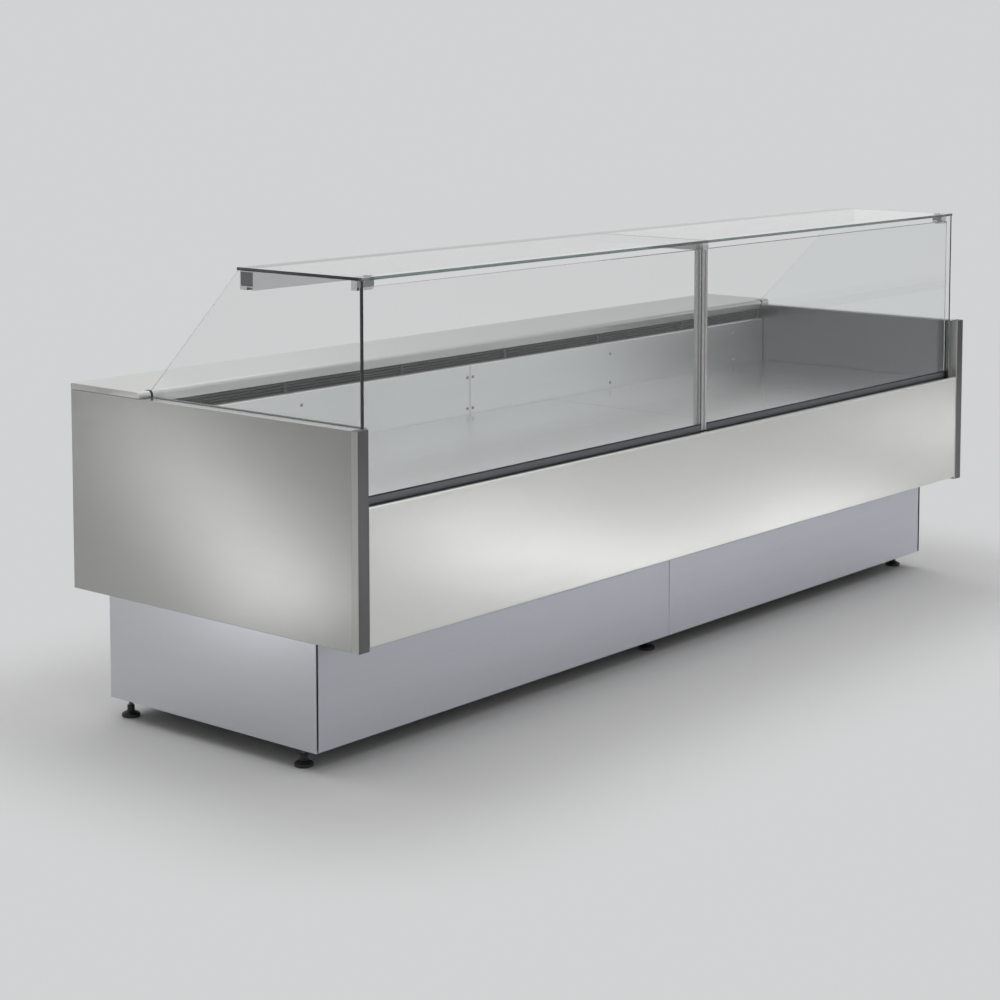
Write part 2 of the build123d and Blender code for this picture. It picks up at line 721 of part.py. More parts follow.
# Front glass rail: a socket along its whole length takes the round bead of the pane holders
socket = bead_radius + slip
pivot = Pos(y_at(hinge_depth), hinge_height)
rail_base_top = tub_front_top + rail_base
rail_face = outline([
    (front_lip_back, tub_front_top), (rail_rear, tub_front_top), (rail_rear, deck_top - 1.5),
    (rail_rear - 4, deck_top - 1.5), (rail_rear - 4, rail_base_top),
    (hinge_depth + 7, rail_base_top), (hinge_depth + 7, hinge_height),
    (hinge_depth - 7, hinge_height), (hinge_depth - 7, rail_base_top),
    (front_lip_back + 3.5, rail_base_top), (front_lip_back + 3.5, front_lip_top - 4),
    (front_lip_back, front_lip_top - 4),
])
rail_face += pivot * Circle(socket + socket_wall)
rail_face -= pivot * Circle(socket)
neck_angle = math.degrees(math.asin(neck / 2 / socket))
mouth = []
for angle in (-neck_angle - 4, swing / 2, swing + neck_angle + 4):
    turn = math.radians(angle)
    mouth.append((hinge_depth - 20 * math.sin(turn), hinge_height + 20 * math.cos(turn)))
rail_face -= outline([(hinge_depth, hinge_height)] + mouth[::-1])
parts["front_glass_rail"] = along_x(rail_face, -tub_half, tub_half)

half_holder = holder_width / 2
half_slot = glass / 2 + slip
holder_face = outline([
    (hinge_depth - half_holder, holder_bottom), (hinge_depth + half_holder, holder_bottom),
    (hinge_depth + half_holder, holder_top), (hinge_depth + half_slot, holder_top),
    (hinge_depth + half_slot, pane_bottom), (hinge_depth - half_slot, pane_bottom),
    (hinge_depth - half_slot, holder_top), (hinge_depth - half_holder, holder_top),
])
holder_face += outline([
    (hinge_depth - neck / 2, hinge_height), (hinge_depth + neck / 2, hinge_height),
    (hinge_depth + neck / 2, holder_bottom + 1), (hinge_depth - neck / 2, holder_bottom + 1),
])
holder_face += pivot * Circle(bead_radius)
pane_start = post_half + end_gap
pane = block(pane_start, pane_end, hinge_depth - glass / 2, hinge_depth + glass / 2, pane_bottom, pane_top)
pane = chamfer(pane.edges().filter_by(Axis.X).group_by(Axis.Z)[-1], 0.8)
holder = along_x(holder_face, pane_start, pane_end)
parts["pane_holder_right"] = holder
parts["pane_holder_left"] = mirror(holder, about=Plane.YZ)
parts["front_pane_right"] = pane
parts["front_pane_left"] = mirror(pane, about=Plane.YZ)

# Centre post, arm, rear rail and lamp
post_foot = hinge_height + socket + socket_wall + 2
post = block(-post_half, post_half, post_front, post_flange_back, post_foot, glass_under)
post -= block(-3, 3, post_front - 1, post_front + 3, post_foot - 1, glass_under + 1)
post = fillet(post.edges().filter_by(Axis.Z).group_by(Axis.Y)[0], 1.2)
post += block(
    -post_flange_half, post_flange_half, post_flange_front, post_flange_back, post_foot, glass_under
)
post += block(-post_half, post_half, post_flange_back - 1, post_back, rail_base_top, glass_under)
parts["centre_post"] = post

arm = block(-arm_half, arm_half, post_back, rail_box_front, glass_under - arm_height, glass_under)
parts["mid_arm"] = fillet(arm.edges().filter_by(Axis.Y).group_by(Axis.Z)[0], 3.0)

rail_box_bottom = glass_under - rail_box_height
rail_half = side_glass_outer - glass - slip
box_face = outline([
    (rail_box_front, rail_box_bottom), (rail_box_back, rail_box_bottom),
    (rail_box_back, glass_under), (rail_box_front, glass_under),
])
inner_bottom = rail_box_bottom + lamp_groove + rail_box_wall
inner_front = rail_box_front + rail_box_wall
inner_back = rail_box_back - rail_box_wall
inner_top = glass_under - rail_box_wall
box_face -= outline([
    (inner_front, inner_bottom), (inner_back, inner_bottom),
    (inner_back, inner_top), (inner_front, inner_top),
])
box_face -= outline([
    (lamp_front, rail_box_bottom - 1), (lamp_back, rail_box_bottom - 1),
    (lamp_back, rail_box_bottom + lamp_groove), (lamp_front, rail_box_bottom + lamp_groove),
])
parts["rear_rail"] = along_x(box_face, -rail_half, rail_half)
lamp = block(
    -rail_half + 10, rail_half - 10, lamp_front + slip, lamp_back - slip,
    rail_box_bottom + 0.5, rail_box_bottom + lamp_groove,
)
parts["led_strip"] = fillet(lamp.edges().filter_by(Axis.X).group_by(Axis.Z)[0], 2.5)

# Side glass, top glass and the corner clamps
side_points = [
    (side_glass_front, side_glass_seat),
    (side_glass_foot + panel_top - side_glass_seat, side_glass_seat),
    (side_glass_rear_top, glass_under), (side_glass_front, glass_under),
]
side = along_x(outline(side_points), side_glass_outer - glass, side_glass_outer)
parts["side_glass_right"] = side
parts["side_glass_left"] = mirror(side, about=Plane.YZ)

clamp_left = rail_half - clamp_length
clamp_front = hinge_depth + glass / 2 + 1
clamp_back = clamp_front + clamp_width
clamp_x = clamp_left + 16
clamp_depth = clamp_front + clamp_width / 2
top_pane = block(0.75, side_glass_outer, top_glass_front, top_glass_back, glass_under, glass_top)
top_pane -= rod_z(clamp_x, clamp_depth, glass_under - 1, glass_top + 1, 5)
parts["top_glass_right"] = top_pane
parts["top_glass_left"] = mirror(top_pane, about=Plane.YZ)

clamp = block(clamp_left, rail_half, clamp_front, clamp_back, glass_under - clamp_height, glass_under)
clamp = chamfer(clamp.edges().group_by(Axis.Z)[0].sort_by(Axis.X)[0], clamp_height / 2)
clamp = fillet(clamp.edges().group_by(Axis.X)[0].filter_by(Axis.Z), clamp_width / 4)
clamp -= rod_z(clamp_x, clamp_depth, glass_under - 18, glass_under + 1, 4 + slip)
cap = rod_z(clamp_x, clamp_depth, glass_top, glass_top + 3, 10)
cap = fillet(cap.edges().filter_by(GeomType.CIRCLE).sort_by(Axis.Z)[-1], 1.5)
cap += rod_z(clamp_x, clamp_depth, glass_under - 17, glass_top + 1, 4)
clamp_set = Compound(children=[clamp, cap])
parts["corner_clamp_right"] = clamp_set
parts["corner_clamp_left"] = mirror(clamp_set, about=Plane.YZ)

# Rear service panel, control fascia, controller, rockers and cable gland
rear_path = [
    (rear_face - 34.5, front_bottom + 2), (rear_face, front_bottom + 2),
    (rear_face, under), (tub_rear + 2, under),
]
rear_panel = folded_sheet(rear_path, sheet, bend, -well_half, well_half)
half_w = fascia_width / 2
half_h = fascia_height / 2
box_w = half_w - fascia_margin
box_h = half_h - fascia_margin
cut = (rear_face - 10, rear_face + 10)
rear_panel -= block(
    fascia_x - box_w - 2, fascia_x + box_w + 2, *cut, fascia_z - box_h - 2, fascia_z + box_h + 2
)
rear_panel -= rod_y(gland_x, *cut, gland_z, gland_radius + slip)
parts["rear_panel"] = rear_panel

fascia_front = rear_face + fascia_thick
box_back = rear_face - fascia_box_depth
inner_w = box_w - fascia_wall
inner_h = box_h - fascia_wall
fascia = block(
    fascia_x - half_w, fascia_x + half_w, rear_face, fascia_front, fascia_z - half_h, fascia_z + half_h
)
fascia = fillet(fascia.edges().filter_by(Axis.Y), 8.0)
fascia += block(
    fascia_x - box_w, fascia_x + box_w, box_back, rear_face + 1, fascia_z - box_h, fascia_z + box_h
)
fascia -= block(
    fascia_x - inner_w, fascia_x + inner_w, box_back + fascia_wall, rear_face,
    fascia_z - inner_h, fascia_z + inner_h,
)
body_w = 35.2
body_h = 14.2
fascia -= block(
    controller_x - body_w - slip, controller_x + body_w + slip, *cut,
    fascia_z - body_h - slip, fascia_z + body_h + slip,
)
pin_depth = rear_face + fascia_thick / 2
pin_reach = rocker_half_width + 1.8
for x in rocker_columns:
    fascia -= block(
        x - rocker_half_width - slip, x + rocker_half_width + slip, *cut,
        fascia_z - rocker_half_height - rocker_sweep, fascia_z + rocker_half_height + rocker_sweep,
    )
    fascia -= rod_x(x - pin_reach - 0.4, x + pin_reach + 0.4, pin_depth, fascia_z, rocker_pin + slip)
parts["control_fascia"] = fascia

bezel_w = body_w + 3.8
bezel_h = body_h + 4.3
bezel_front = fascia_front + 4
controller = block(
    controller_x - bezel_w, controller_x + bezel_w, fascia_front, bezel_front,
    fascia_z - bezel_h, fascia_z + bezel_h,
)
controller = fillet(controller.edges().group_by(Axis.Y)[-1], 1.5)
controller += block(
    controller_x - body_w, controller_x + body_w, box_back + 7, fascia_front + 1,
    fascia_z - body_h, fascia_z + body_h,
)
controller -= block(
    controller_x - 30, controller_x + 12, bezel_front - 1, bezel_front + 1, fascia_z - 10, fascia_z + 10
)
for row in (-1, 1):
    for column in (0, 1):
        key = Pos(controller_x + 20 + 10 * column, y_at(bezel_front + 0.2), fascia_z + 6 * row)
        controller += key * Box(7, 1.4, 6)
parts["controller"] = controller

rocker_points = [
    (5.0, rocker_half_height), (2.6, 0), (5.0, -rocker_half_height), (-1.5, -rocker_half_height + 0.6),
    (-7.0, -7.0), (-7.0, 7.0), (-1.5, rocker_half_height - 0.6),
]
rocker_face = outline([(pin_depth + d, fascia_z + z) for d, z in rocker_points])
rocker = along_x(rocker_face, -rocker_half_width, rocker_half_width)
rocker += rod_x(-pin_reach, pin_reach, pin_depth, fascia_z, rocker_pin)
rocker = rocker.rotate(Axis((0, y_at(pin_depth), fascia_z), (1, 0, 0)), -rocker_tilt)
for name, x in zip(("main", "light"), rocker_columns):
    parts["rocker_" + name] = Pos(x, 0, 0) * rocker

gland = rod_y(gland_x, rear_face - 14.5, rear_face + 15.5, gland_z, gland_radius)
gland += hexagon_y(gland_x, rear_face, rear_face + 7, gland_z, gland_flats)
gland += hexagon_y(gland_x, rear_face - sheet - 6, rear_face - sheet, gland_z, gland_flats)
dome = rod_y(gland_x, rear_face + 7, rear_face + 24, gland_z, gland_radius + 2.5)
gland += fillet(dome.edges().filter_by(GeomType.CIRCLE).sort_by(Axis.Y)[-1], 5.0)
gland -= rod_y(gland_x, rear_face - 20, rear_face + 30, gland_z, gland_bore)
parts["power_gland"] = gland

for name, shape in parts.items():
    export_step(shape, "parts/" + name + ".step")
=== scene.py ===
import bpy
import bmesh
import math
from mathutils import Matrix, Vector


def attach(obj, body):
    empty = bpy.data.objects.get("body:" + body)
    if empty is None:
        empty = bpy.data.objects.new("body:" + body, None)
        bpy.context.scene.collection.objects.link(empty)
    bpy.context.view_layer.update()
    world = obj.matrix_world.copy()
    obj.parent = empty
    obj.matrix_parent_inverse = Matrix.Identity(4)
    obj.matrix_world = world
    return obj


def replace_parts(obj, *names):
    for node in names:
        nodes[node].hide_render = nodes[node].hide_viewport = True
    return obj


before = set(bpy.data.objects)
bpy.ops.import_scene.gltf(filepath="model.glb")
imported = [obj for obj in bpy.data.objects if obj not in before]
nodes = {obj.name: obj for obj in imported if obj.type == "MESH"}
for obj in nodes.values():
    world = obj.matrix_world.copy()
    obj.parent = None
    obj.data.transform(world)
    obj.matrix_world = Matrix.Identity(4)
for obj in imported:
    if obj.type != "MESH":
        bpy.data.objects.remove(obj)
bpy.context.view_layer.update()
scene = bpy.context.scene
scene.view_settings.view_transform = "Standard"


# camera at the photograph's place, framing a square picture
cameraSettings = {
    "place": (-5.3314, -4.2104, 1.7809),
    "turnRight": 49.911,  # degrees from +Y towards +X
    "lookDown": 5.208,
    "lens": 80.16,
    "sensor": 36,
    "shiftY": -0.24,
    "reach": 200,
}
cameraData = bpy.data.cameras.new("photoCamera")
cameraData.lens = cameraSettings["lens"]
cameraData.sensor_width = cameraSettings["sensor"]
cameraData.shift_y = cameraSettings["shiftY"]
cameraData.clip_end = cameraSettings["reach"]
camera = bpy.data.objects.new("photoCamera", cameraData)
camera.location = cameraSettings["place"]
camera.rotation_euler = (
    math.radians(90 - cameraSettings["lookDown"]), 0, math.radians(-cameraSettings["turnRight"]))
scene.collection.objects.link(camera)
scene.camera = camera


# shader helpers: a socket that is handed in gets linked, a number or colour gets set
def feed(tree, socket, value):
    if isinstance(value, bpy.types.NodeSocket):
        tree.links.new(value, socket)
    else:
        socket.default_value = value


def addNode(tree, kind, **values):
    node = tree.nodes.new(kind)
    for key, value in values.items():
        if key in node.inputs:
            feed(tree, node.inputs[key], value)
        else:
            setattr(node, key, value)
    return node


def mathNode(tree, operation, *values):
    node = addNode(tree, "ShaderNodeMath", operation=operation)
    for socket, value in zip(node.inputs, values):
        feed(tree, socket, value)
    return node.outputs[0]


def vectorNode(tree, operation, *values, **named):
    node = addNode(tree, "ShaderNodeVectorMath", operation=operation, **named)
    for socket, value in zip(node.inputs, values):
        feed(tree, socket, value)
    return node.outputs


def mapRange(tree, value, fromRange, toRange=(0.0, 1.0), **options):
    ramp = addNode(tree, "ShaderNodeMapRange", Value=value, **options)
    for label, end in zip(("From Min", "From Max", "To Min", "To Max"), (*fromRange, *toRange)):
        feed(tree, ramp.inputs[label], end)
    return ramp.outputs["Result"]


def mixShaders(tree, share, first, second):
    mix = addNode(tree, "ShaderNodeMixShader")
    for socket, value in zip(mix.inputs, (share, first.outputs[0], second.outputs[0])):
        tree.links.new(value, socket)
    return mix


def blankMaterial(name):
    material = bpy.data.materials.new(name)
    material.use_nodes = True
    tree = material.node_tree
    return material, tree, tree.nodes["Principled BSDF"]


def setShader(tree, shader, values):
    for label, value in values.items():
        feed(tree, shader.inputs[label], value)


def startGroup(name, inputs, outputs):
    group = bpy.data.node_groups.new(name, "ShaderNodeTree")
    for way, sockets in (("INPUT", inputs), ("OUTPUT", outputs)):
        for label, kind in sockets.items():
            group.interface.new_socket(label, in_out=way, socket_type="NodeSocket" + kind)
    return group, group.nodes.new("NodeGroupInput").outputs, group.nodes.new("NodeGroupOutput").inputs


def useGroup(tree, group, **values):
    return addNode(tree, "ShaderNodeGroup", node_tree=group, **values).outputs


def colour(rgb):
    return (*rgb, 1.0)


# brushed grain: fine hairlines and broader rolling streaks along one direction
grainSettings = {
    "hair": {"Scale": 6.0, "Detail": 1.0, "Roughness": 0.5},
    "roll": {"Scale": 0.55, "Detail": 2.0, "Roughness": 0.5},
    "gloss": -0.3,  # pale streaks are a little shinier
    "stretch": {"X": (0.35, 40.0, 40.0), "Y": (40.0, 0.35, 40.0), "Z": (40.0, 40.0, 0.35)},
    "relief": 0.0006,
}


def makeGrainGroup(settings):
    group, enter, leave = startGroup(
        "brushedGrain",
        {"Vector": "Vector", "Colour": "Color", "Roughness": "Float", "Depth": "Float"},
        {"Colour": "Color", "Roughness": "Float", "Height": "Float"})
    hair = addNode(group, "ShaderNodeTexNoise", Vector=enter["Vector"], **settings["hair"])
    roll = addNode(group, "ShaderNodeTexNoise", Vector=enter["Vector"], **settings["roll"])
    both = mathNode(group, "ADD", hair.outputs["Fac"], roll.outputs["Fac"])
    centred = mathNode(group, "SUBTRACT", both, 1.0)
    scaled = mathNode(group, "MULTIPLY", centred, enter["Depth"])
    gain = mathNode(group, "ADD", scaled, 1.0)
    shade = vectorNode(group, "SCALE", enter["Colour"], Scale=gain)
    feed(group, leave["Colour"], shade["Vector"])
    feed(group, leave["Roughness"], mathNode(group, "MULTIPLY_ADD", scaled, settings["gloss"], enter["Roughness"]))
    feed(group, leave["Height"], hair.outputs["Fac"])
    return group


# handling: faint wipe marks and fingerprints that only change the gloss
handlingSettings = {
    "cloud": {"Scale": 2.4, "Detail": 5.0, "Roughness": 0.6, "Distortion": 0.15},
    "range": (0.42, 0.72),
}


def makeHandlingGroup(settings):
    group, enter, leave = startGroup(
        "handlingMarks",
        {"Vector": "Vector", "Roughness": "Float", "Amount": "Float"},
        {"Roughness": "Float"})
    cloud = addNode(group, "ShaderNodeTexNoise", Vector=enter["Vector"], **settings["cloud"])
    mask = mapRange(group, cloud.outputs["Fac"], settings["range"])
    feed(group, leave["Roughness"], mathNode(group, "MULTIPLY_ADD", mask, enter["Amount"], enter["Roughness"]))
    return group


# fine texture of paint, casting and moulded plastic
peelSettings = {
    "peel": {"Detail": 2.0, "Roughness": 0.55},
    "patch": {"Scale": 3.0, "Detail": 3.0, "Roughness": 0.6},
    "relief": 0.0008,
}


def makePeelGroup(settings):
    group, enter, leave = startGroup(
        "fineTexture",
        {"Vector": "Vector", "Colour": "Color", "Depth": "Float", "Scale": "Float"},
        {"Colour": "Color", "Height": "Float"})
    peel = addNode(group, "ShaderNodeTexNoise", Vector=enter["Vector"], Scale=enter["Scale"], **settings["peel"])
    patch = addNode(group, "ShaderNodeTexNoise", Vector=enter["Vector"], **settings["patch"])
    both = mathNode(group, "ADD", peel.outputs["Fac"], patch.outputs["Fac"])
    centred = mathNode(group, "SUBTRACT", both, 1.0)
    gain = mathNode(group, "MULTIPLY_ADD", centred, enter["Depth"], 1.0)
    shade = vectorNode(group, "SCALE", enter["Colour"], Scale=gain)
    feed(group, leave["Colour"], shade["Vector"])
    feed(group, leave["Height"], peel.outputs["Fac"])
    return group


# one colour on the faces turned along a direction, another on the edges between them
sideSettings = {"facing": 0.6}  # cosine that parts the two


def makeSideGroup(settings):
    group, enter, leave = startGroup(
        "sideTints",
        {"Normal": "Vector", "Direction": "Vector", "Faces": "Color", "Edges": "Color"},
        {"Colour": "Color", "Edge": "Float"})
    facing = vectorNode(group, "DOT_PRODUCT", enter["Normal"], enter["Direction"])
    edge = mathNode(group, "LESS_THAN", mathNode(group, "ABSOLUTE", facing["Value"]), settings["facing"])
    mixed = addNode(
        group, "ShaderNodeMix", data_type="RGBA", Factor=edge, A=enter["Faces"], B=enter["Edges"])
    feed(group, leave["Colour"], mixed.outputs["Result"])
    feed(group, leave["Edge"], edge)
    return group


# smears on glass, and the duller ground edges
filmSettings = {
    "smear": {"Scale": 1.6, "Detail": 4.0, "Roughness": 0.55},
    "range": (0.5, 0.8),
}


def makeFilmGroup(settings):
    group, enter, leave = startGroup(
        "glassFilm",
        {"Vector": "Vector", "Edge": "Float", "Film": "Float", "Ground": "Float"},
        {"Roughness": "Float"})
    smear = addNode(group, "ShaderNodeTexNoise", Vector=enter["Vector"], **settings["smear"])
    film = mapRange(group, smear.outputs["Fac"], settings["range"], (0.0, enter["Film"]))
    feed(group, leave["Roughness"], mathNode(group, "MULTIPLY_ADD", enter["Edge"], enter["Ground"], film))
    return group


grainGroup = makeGrainGroup(grainSettings)
handlingGroup = makeHandlingGroup(handlingSettings)
peelGroup = makePeelGroup(peelSettings)
sideGroup = makeSideGroup(sideSettings)
filmGroup = makeFilmGroup(filmSettings)


def brushedMetal(name, settings):
    material, tree, shader = blankMaterial(name)
    place = addNode(tree, "ShaderNodeTexCoord").outputs
    stretch = grainSettings["stretch"][settings["along"]]
    brushed = addNode(tree, "ShaderNodeMapping", Vector=place["Object"], Scale=stretch)
    tint = colour(settings["tint"])
    if "sideTint" in settings:  # faces turned to the ends are bare metal
        tint = useGroup(
            tree, sideGroup, Normal=place["Normal"], Direction=(1, 0, 0),
            Faces=colour(settings["sideTint"]), Edges=tint)["Colour"]
    grain = useGroup(
        tree, grainGroup, Vector=brushed.outputs["Vector"], Colour=tint,
        Roughness=settings["rough"], Depth=settings["grain"])
    marks = useGroup(
        tree, handlingGroup, Vector=place["Object"], Roughness=grain["Roughness"], Amount=settings["marks"])
    bump = addNode(
        tree, "ShaderNodeBump", Strength=settings["bump"], Distance=grainSettings["relief"], Height=grain["Height"])
    around = addNode(tree, "ShaderNodeTangent", direction_type="RADIAL", axis=settings["along"])
    setShader(tree, shader, {
        "Base Color": grain["Colour"],
        "Roughness": marks["Roughness"],
        "Normal": bump.outputs["Normal"],
        "Metallic": 1.0,
        "Anisotropic": settings["brush"],  # the sheen spreads across the grain
        "Tangent": around.outputs["Tangent"],
    })
    return material


def texturedCoat(name, settings):
    material, tree, shader = blankMaterial(name)
    place = addNode(tree, "ShaderNodeTexCoord").outputs
    peel = useGroup(
        tree, peelGroup, Vector=place["Object"], Colour=colour(settings["tint"]),
        Depth=settings["mottle"], Scale=settings["scale"])
    marks = useGroup(
        tree, handlingGroup, Vector=place["Object"], Roughness=settings["rough"], Amount=settings["marks"])
    bump = addNode(
        tree, "ShaderNodeBump", Strength=settings["bump"], Distance=peelSettings["relief"], Height=peel["Height"])
    setShader(tree, shader, {
        "Base Color": peel["Colour"],
        "Roughness": marks["Roughness"],
        "Normal": bump.outputs["Normal"],
        "Metallic": 0.0,
    })
    return material


# clear glass with a faint green body, which lets most light through into its shadow
def clearGlass(name, settings):
    material, tree, shader = blankMaterial(name)
    place = addNode(tree, "ShaderNodeTexCoord").outputs
    sides = useGroup(
        tree, sideGroup, Normal=place["Normal"], Direction=settings["faceNormal"],
        Faces=colour(settings["tint"]), Edges=colour(settings["edgeTint"]))
    film = useGroup(
        tree, filmGroup, Vector=place["Object"], Edge=sides["Edge"],
        Film=settings["film"], Ground=settings["edgeRough"])
    setShader(tree, shader, {
        "Base Color": sides["Colour"],
        "Roughness": film["Roughness"],
        "Transmission Weight": 1.0,
        "IOR": settings["index"],
    })
    clear = addNode(tree, "ShaderNodeBsdfTransparent", Color=colour(settings["shade"]))
    path = addNode(tree, "ShaderNodeLightPath").outputs
    mix = mixShaders(tree, path["Is Shadow Ray"], shader, clear)
    tree.links.new(mix.outputs[0], tree.nodes["Material Output"].inputs["Surface"])
    return material


steelFinishes = {
    # painted shade: the end panels get a darker copy of the stainless steel
    "endSteelPaintedShade": {"tint": (0.46, 0.46, 0.45), "rough": 0.21, "grain": 0.04,
                 "marks": 0.008, "bump": 0.01, "brush": 0.35, "along": "Y"},
    # painted light: the front panel gets a lighter copy of the stainless steel
    "frontSteelPaintedLight": {"tint": (0.83, 0.828, 0.805), "rough": 0.225, "grain": 0.025,
                   "marks": 0.008, "bump": 0.01, "brush": 0.50, "along": "X"},
    "worktopSteel": {"tint": (0.64, 0.64, 0.635), "rough": 0.34, "grain": 0.05,
                     "marks": 0.01, "bump": 0.02, "brush": 0.60, "along": "X"},
    # painted light: the deck plates and return grille get a lighter copy of the stainless steel
    "deckSteelPaintedLight": {"tint": (0.79, 0.795, 0.805), "rough": 0.245, "grain": 0.03,
                  "marks": 0.01, "bump": 0.01, "brush": 0.25, "along": "X"},
    # painted light: the wall of the well gets a much lighter copy of the stainless steel
    "wallSteelPaintedLight": {"tint": (0.92, 0.922, 0.92), "rough": 0.42, "grain": 0.05,
                  "marks": 0.02, "bump": 0.02, "brush": 0.60, "along": "X"},
    # painted shade: the inner faces of the end panels get a very dark copy of the stainless steel
    "innerEndPaintedShade": {"tint": (0.19, 0.195, 0.20), "rough": 0.22, "grain": 0.05,
                 "marks": 0.01, "bump": 0.01, "brush": 0.60, "along": "Y"},
    "linerSteel": {"tint": (0.30, 0.305, 0.31), "rough": 0.45, "grain": 0.08,
                   "marks": 0.05, "bump": 0.04, "brush": 0.30, "along": "X"},
    "rearSteel": {"tint": (0.62, 0.62, 0.61), "rough": 0.34, "grain": 0.06,
                  "marks": 0.03, "bump": 0.02, "brush": 0.70, "along": "X"},
    "plinthSteel": {"tint": (0.62, 0.635, 0.695), "rough": 0.38, "grain": 0.04,
                    "marks": 0.03, "bump": 0.02, "brush": 0.60, "along": "X"},
    "plinthEndSteel": {"tint": (0.62, 0.635, 0.675), "rough": 0.235, "grain": 0.04,
                       "marks": 0.01, "bump": 0.02, "brush": 0.60, "along": "Y"},
    "satinRail": {"tint": (0.66, 0.66, 0.66), "rough": 0.30, "grain": 0.06,
                  "marks": 0.02, "bump": 0.04, "brush": 0.50, "along": "X"},
    "satinPost": {"tint": (0.62, 0.62, 0.615), "rough": 0.4, "grain": 0.06,
                  "marks": 0.015, "bump": 0.04, "brush": 0.50, "along": "Z"},
    "edgeProfile": {"tint": (0.17, 0.17, 0.173), "sideTint": (0.50, 0.50, 0.49), "rough": 0.32, "grain": 0.10,
                    "marks": 0.03, "bump": 0.04, "brush": 0.50, "along": "Z"},
    "glassRail": {"tint": (0.10, 0.112, 0.132), "rough": 0.34, "grain": 0.08,
                  "marks": 0.03, "bump": 0.04, "brush": 0.50, "along": "X"},
    "paneHolder": {"tint": (0.19, 0.20, 0.215), "rough": 0.34, "grain": 0.08,
                   "marks": 0.03, "bump": 0.04, "brush": 0.50, "along": "X"},
    "galvanised": {"tint": (0.52, 0.53, 0.54), "rough": 0.42, "grain": 0.16,
                   "marks": 0.08, "bump": 0.05, "brush": 0.30, "along": "X"},
    "finStock": {"tint": (0.70, 0.70, 0.69), "rough": 0.38, "grain": 0.10,
                 "marks": 0.05, "bump": 0.04, "brush": 0.30, "along": "Z"},
    "bladeMetal": {"tint": (0.45, 0.46, 0.47), "rough": 0.42, "grain": 0.10,
                   "marks": 0.06, "bump": 0.04, "brush": 0.30, "along": "X"},
    "copperTube": {"tint": (0.66, 0.36, 0.24), "rough": 0.34, "grain": 0.20,
                   "marks": 0.12, "bump": 0.04, "brush": 0.00, "along": "Z"},
    "clampChrome": {"tint": (0.60, 0.60, 0.61), "rough": 0.12, "grain": 0.02,
                    "marks": 0.02, "bump": 0.01, "brush": 0.00, "along": "X"},
    "screwSteel": {"tint": (0.36, 0.36, 0.36), "rough": 0.36, "grain": 0.06,
                   "marks": 0.04, "bump": 0.02, "brush": 0.00, "along": "X"},
}
coatFinishes = {
    "framePaint": {"tint": (0.075, 0.08, 0.085), "rough": 0.5, "mottle": 0.2,
                   "scale": 420, "marks": 0.1, "bump": 0.15},
    "compressorEnamel": {"tint": (0.018, 0.018, 0.019), "rough": 0.3, "mottle": 0.2,
                         "scale": 300, "marks": 0.12, "bump": 0.15},
    "motorEnamel": {"tint": (0.11, 0.115, 0.12), "rough": 0.42, "mottle": 0.2,
                    "scale": 300, "marks": 0.1, "bump": 0.15},
    "footPlastic": {"tint": (0.018, 0.018, 0.018), "rough": 0.48, "mottle": 0.3,
                    "scale": 700, "marks": 0.12, "bump": 0.2},
    "foamSkin": {"tint": (0.50, 0.50, 0.47), "rough": 0.55, "mottle": 0.14,
                 "scale": 90, "marks": 0.1, "bump": 0.12},
    "grillePlastic": {"tint": (0.075, 0.075, 0.078), "rough": 0.5, "mottle": 0.2,
                      "scale": 600, "marks": 0.08, "bump": 0.15},
    "fasciaPlastic": {"tint": (0.022, 0.022, 0.024), "rough": 0.44, "mottle": 0.25,
                      "scale": 1400, "marks": 0.08, "bump": 0.25},
    "keyPlastic": {"tint": (0.02, 0.02, 0.022), "rough": 0.26, "mottle": 0.2,
                   "scale": 900, "marks": 0.1, "bump": 0.06},
    "smokedLens": {"tint": (0.028, 0.006, 0.006), "rough": 0.12, "mottle": 0.2,
                   "scale": 500, "marks": 0.06, "bump": 0.01},
    "sealRubber": {"tint": (0.02, 0.02, 0.021), "rough": 0.6, "mottle": 0.25,
                   "scale": 800, "marks": 0.1, "bump": 0.15},
    "siliconeBead": {"tint": (0.42, 0.425, 0.43), "rough": 0.4, "mottle": 0.1,
                     "scale": 800, "marks": 0.08, "bump": 0.08},
    "capPlastic": {"tint": (0.16, 0.16, 0.165), "rough": 0.42, "mottle": 0.15,
                   "scale": 900, "marks": 0.08, "bump": 0.1},
    "lampDiffuser": {"tint": (0.86, 0.86, 0.84), "rough": 0.38, "mottle": 0.03,
                     "scale": 500, "marks": 0.05, "bump": 0.03},
    "markWhite": {"tint": (0.75, 0.75, 0.75), "rough": 0.5, "mottle": 0.05,
                  "scale": 900, "marks": 0.05, "bump": 0.05},
}
glassBody = {
    "tint": (0.975, 0.99, 0.985),
    "edgeTint": (0.46, 0.57, 0.54),
    "film": 0.012,
    "edgeRough": 0.30,
    "index": 1.5,
    "shade": (0.93, 0.95, 0.94),
}
glassFaces = {"frontGlass": (0, 1, 0), "sideGlass": (1, 0, 0), "topGlass": (0, 0, 1)}
finish = {}
for name, settings in steelFinishes.items():
    finish[name] = brushedMetal(name, settings)
for name, settings in coatFinishes.items():
    finish[name] = texturedCoat(name, settings)
for name, faceNormal in glassFaces.items():
    finish[name] = clearGlass(name, {**glassBody, "faceNormal": faceNormal})
print("finishes:", len(finish))


